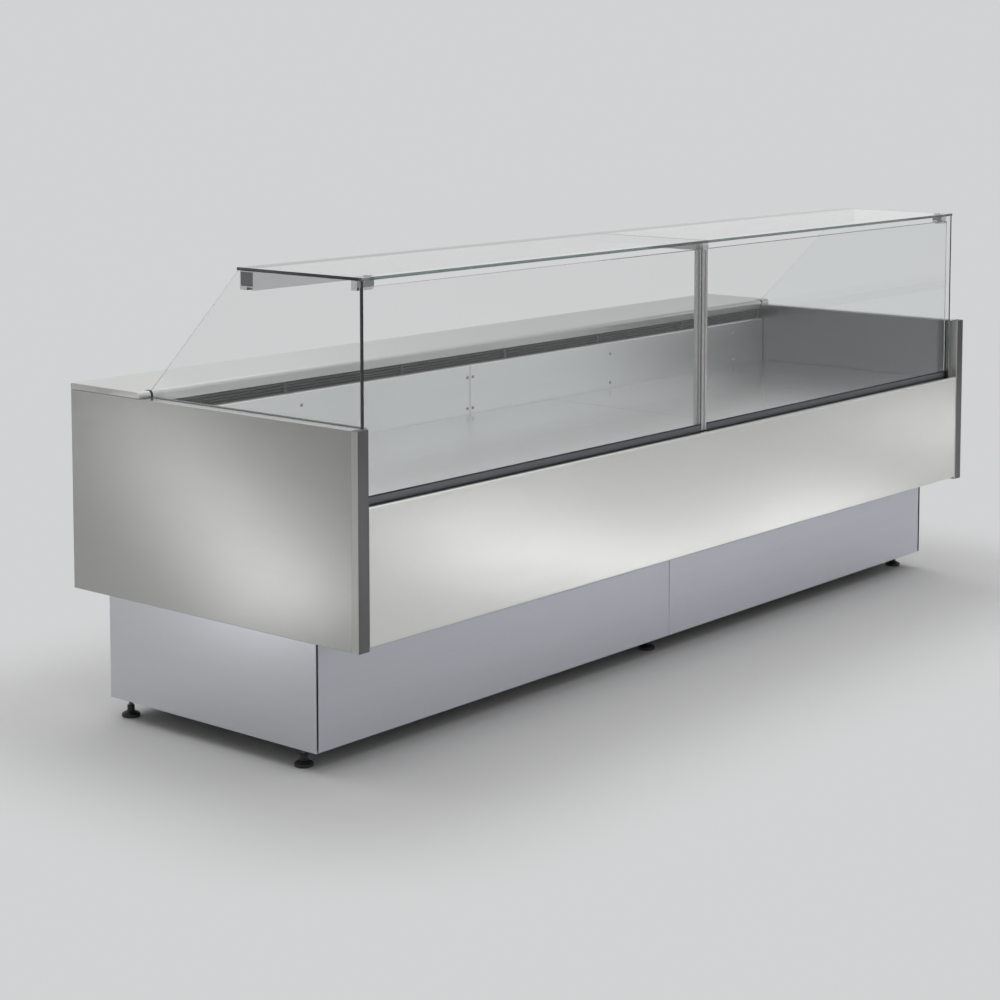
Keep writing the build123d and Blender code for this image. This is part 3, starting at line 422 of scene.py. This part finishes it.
# what each solid wears; feet, wall screws and gland have pieces of their own further down
nodeFinish = {
    # painted shade: a darker copy of the stainless steel on the end panels
    "endSteelPaintedShade": ["end_panel_left", "end_panel_right"],
    # painted light: a much lighter copy of the stainless steel on the wall of the well
    "wallSteelPaintedLight": ["rear_wall_left", "rear_wall_right"],
    # painted shade: a very dark copy of the stainless steel on the inner faces of the end panels
    "innerEndPaintedShade": ["end_core_left", "end_core_right"],
    "linerSteel": ["tub_liner"],
    # painted light: a lighter copy of the stainless steel on the front panel
    "frontSteelPaintedLight": ["front_panel"],
    "worktopSteel": ["worktop"],
    # painted light: a lighter copy of the stainless steel on the deck plates and return grille
    "deckSteelPaintedLight": ["deck_plate_left", "deck_plate_middle", "deck_plate_right", "return_grille"],
    "rearSteel": ["rear_panel"],
    "plinthSteel": ["plinth_front_left", "plinth_front_right", "plinth_rear_grille"],
    "plinthEndSteel": ["plinth_left", "plinth_right"],
    "satinRail": ["rear_rail", "mid_arm"],
    "satinPost": ["centre_post"],
    "edgeProfile": ["end_profile_left", "end_profile_right"],
    "glassRail": ["front_glass_rail"],
    "paneHolder": ["pane_holder_left", "pane_holder_right"],
    "galvanised": ["unit_tray", "condenser_shroud", "fan_plate"],
    "finStock": ["condenser_coil", "evaporator_coil"],
    "bladeMetal": ["condenser_fan", "evaporator_fan_left", "evaporator_fan_right"],
    "copperTube": ["refrigerant_lines"],
    "clampChrome": ["corner_clamp_left", "corner_clamp_right"],
    "framePaint": ["base_frame"],
    "compressorEnamel": ["compressor"],
    "motorEnamel": ["condenser_fan_motor", "evaporator_fan_motor_left", "evaporator_fan_motor_right"],
    "foamSkin": ["insulated_tub"],
    "grillePlastic": ["air_discharge_grille"],
    "fasciaPlastic": ["control_fascia"],
    "keyPlastic": ["controller", "rocker_main", "rocker_light"],
    "lampDiffuser": ["led_strip"],
    "frontGlass": ["front_pane_left", "front_pane_right"],
    "sideGlass": ["side_glass_left", "side_glass_right"],
    "topGlass": ["top_glass_left", "top_glass_right"],
}
for name, wearers in nodeFinish.items():
    for node in wearers:
        nodes[node].data.materials.clear()
        nodes[node].data.materials.append(finish[name])
print("finishes set on the solids")


# mesh helpers: every piece ends at the origin with its place in its mesh
mergeSettings = {"piece": 1e-7, "spin": 1e-6}


def finishPiece(name, bm, material, body="case", sharp=35):
    bmesh.ops.remove_doubles(bm, verts=bm.verts, dist=mergeSettings["piece"])
    bmesh.ops.recalc_face_normals(bm, faces=bm.faces)
    for face in bm.faces:
        face.smooth = True
    for edge in bm.edges:
        if len(edge.link_faces) == 2 and edge.calc_face_angle(0.0) > math.radians(sharp):
            edge.smooth = False
    mesh = bpy.data.meshes.new(name)
    bm.to_mesh(mesh)
    bm.free()
    mesh.materials.append(finish[material])
    piece = bpy.data.objects.new(name, mesh)
    scene.collection.objects.link(piece)
    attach(piece, body)
    return piece


def spinProfile(points, steps):
    bm = bmesh.new()
    verts = [bm.verts.new((radius, 0, height)) for radius, height in points]
    edges = [bm.edges.new(pair) for pair in zip(verts, verts[1:])]
    bmesh.ops.spin(
        bm, geom=verts + edges, cent=(0, 0, 0), axis=(0, 0, 1), angle=2 * math.pi, steps=steps, use_merge=True)
    bmesh.ops.remove_doubles(bm, verts=bm.verts, dist=mergeSettings["spin"])
    bmesh.ops.recalc_face_normals(bm, faces=bm.faces)
    return bm


def roundEdges(bm, verts, size, segments):
    edges = list(dict.fromkeys(edge for vert in verts for edge in vert.link_edges))
    bmesh.ops.bevel(
        bm, geom=edges, offset=size, offset_type="OFFSET", affect="EDGES",
        segments=segments, profile=0.5, material=-1)


# a rounded box from its ends along X, Y and Z
def softBox(bm, spans, edgeRound, segments=2):
    made = bmesh.ops.create_cube(bm, size=1.0)["verts"]
    bmesh.ops.scale(bm, vec=[high - low for low, high in spans], verts=made)
    bmesh.ops.translate(bm, vec=[(low + high) / 2 for low, high in spans], verts=made)
    roundEdges(bm, made, edgeRound, segments)


def hexPrism(bm, acrossFlats, heights, edgeRound):
    low, high = heights
    made = bmesh.ops.create_circle(bm, cap_ends=True, segments=6, radius=acrossFlats / math.sqrt(3))["verts"]
    bmesh.ops.translate(bm, vec=(0, 0, low), verts=made)
    grown = bmesh.ops.extrude_face_region(bm, geom=[made[0].link_faces[0]])["geom"]
    top = [item for item in grown if isinstance(item, bmesh.types.BMVert)]
    bmesh.ops.translate(bm, vec=(0, 0, high - low), verts=top)
    roundEdges(bm, made + top, edgeRound, 2)


def placeCopies(shape, matrices, bm=None):
    mesh = bpy.data.meshes.new("copied")
    shape.to_mesh(mesh)
    shape.free()
    bm = bm or bmesh.new()
    for matrix in matrices:
        before = len(bm.verts)
        bm.from_mesh(mesh)
        bm.verts.ensure_lookup_table()
        bmesh.ops.transform(bm, matrix=matrix, verts=bm.verts[before:])
    bpy.data.meshes.remove(mesh)
    return bm


def newFaces(result):
    return [item for item in result["geom"] if isinstance(item, bmesh.types.BMFace)]


def onSide(sign, *ends):
    return sorted(sign * end for end in ends)


def turned(degrees, axis):
    return Matrix.Rotation(math.radians(degrees), 4, axis)


# levelling feet: ribbed pad, threaded stud and lock nut
footSettings = {
    "columns": (-1.457, 0.0, 1.457),
    "rows": (-0.3025, 0.3595),
    "pad": [(0, 0), (0.0222, 0), (0.0240, 0.0006), (0.0249, 0.0020), (0.0250, 0.0072), (0.0243, 0.0086),
            (0.0215, 0.0104), (0.0212, 0.0098), (0.0190, 0.0112), (0.0187, 0.0120), (0.0150, 0.0140),
            (0.0114, 0.0153), (0.0101, 0.0175), (0.0100, 0.0300), (0.0092, 0.0316), (0.0060, 0.0320), (0, 0.0320)],
    "padSteps": 40,
    "stud": {"low": 0.0318, "high": 0.0818, "crest": 0.0060, "root": 0.0051, "pitch": 0.00175,
             "plainEnd": 0.001, "endShare": 0.9, "steps": 20},
    "nut": {"flats": 0.019, "heights": (0.0500, 0.0600), "round": 0.0007},
}


def buildFeet(settings):
    places = [Matrix.Translation((x, y, 0)) for x in settings["columns"] for y in settings["rows"]]
    pad = spinProfile(settings["pad"], settings["padSteps"])
    pads = finishPiece("footPads", placeCopies(pad, places), "footPlastic", sharp=28)
    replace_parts(pads, "feet")
    stud = settings["stud"]
    profile = [(0, stud["low"]), (stud["root"], stud["low"])]
    height = stud["low"]
    while height + stud["pitch"] < stud["high"] - stud["plainEnd"]:
        profile.append((stud["crest"], height + stud["pitch"] / 2))
        profile.append((stud["root"], height + stud["pitch"]))
        height += stud["pitch"]
    profile += [(stud["root"] * stud["endShare"], stud["high"]), (0, stud["high"])]
    bolt = spinProfile(profile, stud["steps"])
    nut = settings["nut"]
    hexPrism(bolt, nut["flats"], nut["heights"], nut["round"])
    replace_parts(finishPiece("footStuds", placeCopies(bolt, places), "screwSteel", sharp=30), "feet")


buildFeet(footSettings)


# cross-recess screws: in the wall of the well, the service panel and the rear grille
screwSettings = {
    "steps": 24,
    "rim": 0.16,  # shares of the head's radius
    "dome": [(0.14, 0.22), (0.22, 0.14), (0.24, 0.05)],
    "between": (20, 70),  # degrees of each quarter that are drawn in to leave the cross
    "pinch": 0.40,
    "sink": 0.30,
    "taper": 0.8,
    "turns": (23, 41),  # degrees from one column or row to the next, so that no two stand alike
    "wall": {"columns": (-1.400, -0.908, -0.1985, -0.1735, 0.526, 1.255), "rows": (0.702, 0.798),
             "face": 0.2455, "radius": 0.005, "front": -1},
    "service": {"columns": (-1.41, -0.94, -0.47, 0.0, 0.47, 0.94, 1.41), "rows": (0.362, 0.846),
                "face": 0.3970, "radius": 0.0045, "front": 1},
    "grille": {"columns": (-1.44, -0.48, 0.27, 1.44), "rows": (0.075, 0.31),
               "face": 0.3985, "radius": 0.0045, "front": 1},
}


def crossHead(settings, radius):
    bm = bmesh.new()
    bmesh.ops.create_circle(bm, cap_ends=True, segments=settings["steps"], radius=radius)
    top = newFaces(bmesh.ops.extrude_face_region(bm, geom=bm.faces[:]))
    bmesh.ops.translate(bm, vec=(0, 0, radius * settings["rim"]), verts=top[0].verts)
    for share, rise in settings["dome"]:
        bmesh.ops.inset_region(bm, faces=top, thickness=radius * share, depth=radius * rise)
    first, last = settings["between"]
    for vert in top[0].verts:
        if first < math.degrees(math.atan2(vert.co.y, vert.co.x)) % 90 < last:
            bmesh.ops.scale(bm, vec=(settings["pinch"], settings["pinch"], 1), verts=[vert])
    low = newFaces(bmesh.ops.extrude_face_region(bm, geom=top))
    bmesh.ops.translate(bm, vec=(0, 0, -radius * settings["sink"]), verts=low[0].verts)
    bmesh.ops.scale(bm, vec=(settings["taper"], settings["taper"], 1), verts=low[0].verts)
    return bm


def buildScrews(settings):
    byColumn, byRow = settings["turns"]
    for name in ("wall", "service", "grille"):
        group = settings[name]
        places = []
        for i, x in enumerate(group["columns"]):
            for j, z in enumerate(group["rows"]):
                spun = turned(-90 * group["front"], "X") @ turned(byColumn * i + byRow * j, "Z")
                places.append(Matrix.Translation((x, group["face"], z)) @ spun)
        heads = placeCopies(crossHead(settings, group["radius"]), places)
        piece = finishPiece(name + "ScrewHeads", heads, "screwSteel", sharp=30)
        if name == "wall":
            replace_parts(piece, "wall_screws")


buildScrews(screwSettings)


# plugs in the open ends of the front edge profiles and of the rear rail
plugSettings = {
    "profile": {"columns": (-1.480, 1.480), "halfWidth": 0.0177, "depths": (-0.5342, -0.5158),
                "bottom": (0.3352, 0.3440), "top": (0.8740, 0.8828)},
    "rail": {"span": (1.4405, 1.4485), "depths": (-0.1294, -0.0856), "heights": (1.2031, 1.2389)},
    "round": 0.0010,
    "well": 0.0035,
    "lip": 0.0006,
}


def addPlug(bm, spans, outward, settings):
    start = len(bm.faces)
    softBox(bm, spans, settings["round"])
    bm.faces.ensure_lookup_table()
    lid = max(bm.faces[start:], key=lambda face: face.calc_area() * max(0.0, face.normal.dot(outward)))
    bmesh.ops.inset_region(bm, faces=[lid], thickness=settings["well"], depth=0)
    bmesh.ops.inset_region(bm, faces=[lid], thickness=settings["lip"], depth=-settings["lip"])


def buildPlugs(settings):
    profile = settings["profile"]
    bm = bmesh.new()
    for x in profile["columns"]:
        across = (x - profile["halfWidth"], x + profile["halfWidth"])
        for end, up in (("bottom", -1), ("top", 1)):
            addPlug(bm, (across, profile["depths"], profile[end]), Vector((0, 0, up)), settings)
    finishPiece("profilePlugs", bm, "capPlastic")
    rail = settings["rail"]
    bm = bmesh.new()
    for sign in (-1, 1):
        addPlug(bm, (onSide(sign, *rail["span"]), rail["depths"], rail["heights"]), Vector((sign, 0, 0)), settings)
    finishPiece("railPlugs", bm, "capPlastic")


buildPlugs(plugSettings)


# silicone beads along the side glass, rubber along the front panes
sealSettings = {
    "side": {"faces": (1.449, 1.457), "depths": (-0.5085, 0.2565), "height": 0.8831,
             "rise": 0.0019, "width": 0.0030},
    "front": {"faces": (-0.5015, -0.4935), "span": (0.0165, 1.4395), "height": 0.7071,
              "rise": 0.0015, "width": 0.0026},
    "gap": 0.0001,
    "round": 0.0006,
}


def buildSeals(settings):
    side = settings["side"]
    heights = (side["height"], side["height"] + side["rise"])
    bm = bmesh.new()
    for sign in (-1, 1):
        for face, way in zip(side["faces"], (-1, 1)):
            across = onSide(sign, face + way * settings["gap"], face + way * side["width"])
            softBox(bm, (across, side["depths"], heights), settings["round"])
    finishPiece("sideGlassSeals", bm, "siliconeBead")
    front = settings["front"]
    heights = (front["height"], front["height"] + front["rise"])
    for sign, name in ((-1, "left"), (1, "right")):
        bm = bmesh.new()
        for face, way in zip(front["faces"], (-1, 1)):
            depths = sorted((face + way * settings["gap"], face + way * front["width"]))
            softBox(bm, (onSide(sign, *front["span"]), depths, heights), settings["round"])
        finishPiece(name + "PaneSeals", bm, "sealRubber", body="front_pane_" + name)


buildSeals(sealSettings)


# head of the centre post and the caps of the lamp
trimSettings = {
    "postHead": {"spans": ((-0.0136, 0.0136), (-0.5066, -0.4880), (1.2235, 1.2417)), "round": 0.0012},
    "lampCap": {"span": (1.4392, 1.4440), "depths": (-0.1272, -0.1078), "heights": (1.1935, 1.2000),
                "round": 0.0014},
    "steps": 3,
}


def buildTrim(settings):
    head = settings["postHead"]
    bm = bmesh.new()
    softBox(bm, head["spans"], head["round"], settings["steps"])
    finishPiece("postHead", bm, "satinRail")
    cap = settings["lampCap"]
    bm = bmesh.new()
    for sign in (-1, 1):
        softBox(bm, (onSide(sign, *cap["span"]), cap["depths"], cap["heights"]), cap["round"], settings["steps"])
    finishPiece("lampCaps", bm, "capPlastic")


buildTrim(trimSettings)


# controls on the service side: display lens, key marks and rocker marks
controlSettings = {
    "lens": {"spans": ((1.1955, 1.2365), (0.4034, 0.4042), (0.7655, 0.7845)), "round": 0.0003},
    "keys": {"columns": (1.245, 1.255), "rows": (0.769, 0.781), "face": 0.4054, "size": 0.0016, "rise": 0.00015},
    "rockers": {"columns": {"rocker_main": 1.055, "rocker_light": 1.100}, "pin": (0.39875, 0.775),
                "tilt": -8.0, "slope": 10.46, "mid": (0.0038, 0.0068)},
    "mark": {"bar": (0.0009, 0.0052), "ring": (0.0021, 0.0028), "ringSteps": 28, "rise": 0.00018},
}


def raised(bm, height):
    grown = newFaces(bmesh.ops.extrude_face_region(bm, geom=bm.faces[:]))
    moved = list(dict.fromkeys(vert for face in grown for vert in face.verts))
    bmesh.ops.translate(bm, vec=(0, 0, height), verts=moved)
    return bm


def barMark(mark):
    bm = bmesh.new()
    bmesh.ops.create_grid(bm, x_segments=1, y_segments=1, size=0.5)
    bmesh.ops.scale(bm, vec=(*mark["bar"], 1), verts=bm.verts)
    return raised(bm, mark["rise"])


def ringMark(mark):
    inner, outer = mark["ring"]
    bm = bmesh.new()
    bmesh.ops.create_circle(bm, cap_ends=True, segments=mark["ringSteps"], radius=outer)
    disc = bm.faces[:]
    bmesh.ops.inset_region(bm, faces=disc, thickness=outer - inner, depth=0, use_boundary=True)
    bmesh.ops.delete(bm, geom=disc, context="FACES_ONLY")
    return raised(bm, mark["rise"])


def buildControls(settings):
    lens = settings["lens"]
    bm = bmesh.new()
    softBox(bm, lens["spans"], lens["round"])
    finishPiece("displayLens", bm, "smokedLens")

    keys = settings["keys"]
    arrow = bmesh.new()
    bmesh.ops.create_circle(arrow, cap_ends=True, segments=3, radius=keys["size"])
    places = []
    for i, x in enumerate(keys["columns"]):
        for j, z in enumerate(keys["rows"]):
            facing = turned(-90, "X") @ turned(90 * (2 * i + j), "Z")
            places.append(Matrix.Translation((x, keys["face"], z)) @ facing)
    finishPiece("keyMarks", placeCopies(raised(arrow, keys["rise"]), places), "markWhite")

    rockers = settings["rockers"]
    out, along = rockers["mid"]
    for name, x in rockers["columns"].items():
        hub = Matrix.Translation((x, *rockers["pin"])) @ turned(rockers["tilt"], "X")
        bm = None
        for makeMark, half in ((barMark, 1), (ringMark, -1)):
            lean = turned(-rockers["slope"] * half - 90, "X")
            place = hub @ Matrix.Translation((0, out, along * half)) @ lean
            bm = placeCopies(makeMark(settings["mark"]), [place], bm)
        finishPiece(name + "Marks", bm, "markWhite", body=name)


buildControls(controlSettings)


# cable gland: hexagons on both sides of the panel and a fluted dome nut
glandSettings = {
    "place": (1.350, 0.397, 0.400),
    "body": [(0.0050, -0.0145), (0.0100, -0.0145), (0.0100, 0.0072), (0.0112, 0.0078), (0.0124, 0.0086),
             (0.0125, 0.0100), (0.0125, 0.0185), (0.0118, 0.0210), (0.0098, 0.0230), (0.0078, 0.0239),
             (0.0066, 0.0240), (0.0062, 0.0236), (0.0050, 0.0232)],
    "steps": 48,
    "flutes": {"between": (0.0095, 0.0190), "outside": 0.012, "every": 4, "wide": 2, "depth": 0.93},
    "hexagons": {"flats": 0.027, "heights": ((0.0002, 0.0069), (-0.0074, -0.0017)), "round": 0.0006},
}


def buildGland(settings):
    bm = spinProfile(settings["body"] + settings["body"][:1], settings["steps"])
    flutes = settings["flutes"]
    low, high = flutes["between"]
    for vert in bm.verts:
        radius = math.hypot(vert.co.x, vert.co.y)
        step = round(math.atan2(vert.co.y, vert.co.x) / (2 * math.pi) * settings["steps"]) % flutes["every"]
        if low < vert.co.z < high and radius > flutes["outside"] and step < flutes["wide"]:
            bmesh.ops.scale(bm, vec=(flutes["depth"], flutes["depth"], 1), verts=[vert])
    hexagons = settings["hexagons"]
    for heights in hexagons["heights"]:
        hexPrism(bm, hexagons["flats"], heights, hexagons["round"])
    outward = Matrix.Translation(settings["place"]) @ turned(-90, "X")
    bmesh.ops.transform(bm, matrix=outward, verts=bm.verts)
    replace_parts(finishPiece("glandNut", bm, "fasciaPlastic", sharp=25), "power_gland")


buildGland(glandSettings)
print("detail pieces built")


# floor, sky and lamps
stageSettings = {
    "floorSize": 60,
    "floorColour": (0.86, 0.86, 0.86),
    "floorRough": 0.85,
    "skyColour": (0.64, 0.645, 0.65),
    "skyLight": 0.28,
    "mirrorSky": {"rise": (0.05, 0.55), "strength": (0.84, 0.32)},  # the sky in reflections, low and high
    "footprint": (1.5, 0.54, 0.0),
    "fade": (0.12, 0.78),  # metres from the counter over which the seen floor goes over into the background
    "lamps": {
        "frontSoftbox": {"place": (0.75, -1.95, 1.0), "aim": (0.75, -1.95, 0.0),
                         "size": (0.35, 0.8), "spread": 50, "power": 3.0},
        "lowSoftbox": {"place": (1.6, -1.42, 1.0), "aim": (1.6, -1.42, 0.0),
                       "size": (1.7, 0.2), "spread": 36, "power": 3.0},
        "keySoftbox": {"place": (2.4, -4.6, 3.8), "aim": (2.8, -2.4, 0.0),
                       "size": (6.0, 3.5), "spread": 170, "power": 15},
        "rightSoftbox": {"place": (4.4, -2.1, 1.2), "aim": (4.4, -2.1, 0.0),
                         "size": (1.4, 0.8), "spread": 50, "power": 3.2},
        "topSoftbox": {"place": (0.4, 0.0, 3.8), "aim": (0.4, 0.0, 0.0),
                       "size": (8.0, 8.0), "spread": 150, "power": 90},
        "leftSoftbox": {"place": (-4.1, 3.05, 1.0), "aim": (-4.1, 3.05, 0.0),
                        "size": (0.3, 5.6), "turn": 33, "spread": 36, "power": 11},
        "rearSoftbox": {"place": (0.4, 3.6, 4.2), "aim": (0.2, 1.0, 0.2),
                        "size": (7.0, 4.0), "spread": 170, "power": 42},
    },
}
seenBackground = ("Is Camera Ray", "Is Transmission Ray")


def raysOf(tree, kinds):
    path = addNode(tree, "ShaderNodeLightPath").outputs
    rays = path[kinds[0]]
    for kind in kinds[1:]:
        rays = mathNode(tree, "MAXIMUM", rays, path[kind])
    return rays


def buildFloor(settings):
    bm = bmesh.new()
    bmesh.ops.create_grid(bm, x_segments=1, y_segments=1, size=settings["floorSize"])
    mesh = bpy.data.meshes.new("studioFloor")
    bm.to_mesh(mesh)
    bm.free()
    floor = bpy.data.objects.new("studioFloor", mesh)
    scene.collection.objects.link(floor)
    material, tree, shader = blankMaterial("studioFloor")
    setShader(tree, shader, {"Base Color": colour(settings["floorColour"]), "Roughness": settings["floorRough"]})
    place = addNode(tree, "ShaderNodeTexCoord").outputs
    quarter = vectorNode(tree, "ABSOLUTE", place["Object"])
    beyond = vectorNode(tree, "SUBTRACT", quarter["Vector"], settings["footprint"])
    outside = vectorNode(tree, "MAXIMUM", beyond["Vector"], (0, 0, 0))
    away = vectorNode(tree, "LENGTH", outside["Vector"])
    fade = mapRange(tree, away["Value"], settings["fade"], interpolation_type="SMOOTHSTEP")
    share = mathNode(tree, "MULTIPLY", fade, raysOf(tree, seenBackground))
    glow = addNode(tree, "ShaderNodeEmission", Color=colour(settings["skyColour"]), Strength=1.0)
    mix = mixShaders(tree, share, shader, glow)
    tree.links.new(mix.outputs[0], tree.nodes["Material Output"].inputs["Surface"])
    mesh.materials.append(material)


def buildSky(settings):
    world = bpy.data.worlds.new("studioSky")
    world.use_nodes = True
    scene.world = world
    tree = world.node_tree
    white = colour((1, 1, 1))
    lit = tree.nodes["Background"]
    setShader(tree, lit, {"Color": white, "Strength": settings["skyLight"]})
    direction = addNode(tree, "ShaderNodeTexCoord").outputs["Generated"]
    height = addNode(tree, "ShaderNodeSeparateXYZ", Vector=direction).outputs["Z"]
    strength = mapRange(tree, height, settings["mirrorSky"]["rise"], settings["mirrorSky"]["strength"])
    mirrored = addNode(tree, "ShaderNodeBackground", Color=white, Strength=strength)
    seen = addNode(tree, "ShaderNodeBackground", Color=colour(settings["skyColour"]), Strength=1.0)
    sky = mixShaders(tree, raysOf(tree, ["Is Glossy Ray"]), lit, mirrored)
    sky = mixShaders(tree, raysOf(tree, seenBackground), sky, seen)
    tree.links.new(sky.outputs[0], tree.nodes["World Output"].inputs["Surface"])


def buildLamps(settings):
    for name, lamp in settings["lamps"].items():
        data = bpy.data.lights.new(name, "AREA")
        data.shape = "RECTANGLE"
        data.size, data.size_y = lamp["size"]
        data.energy = lamp["power"]
        data.spread = math.radians(lamp["spread"])
        light = bpy.data.objects.new(name, data)
        light.location = lamp["place"]
        aim = (Vector(lamp["aim"]) - Vector(lamp["place"])).to_track_quat("-Z", "Y")
        light.rotation_euler = (turned(lamp.get("turn", 0), "Z") @ aim.to_matrix().to_4x4()).to_euler()
        light.visible_camera = False
        scene.collection.objects.link(light)


buildFloor(stageSettings)
buildSky(stageSettings)
buildLamps(stageSettings)
print("stage set")
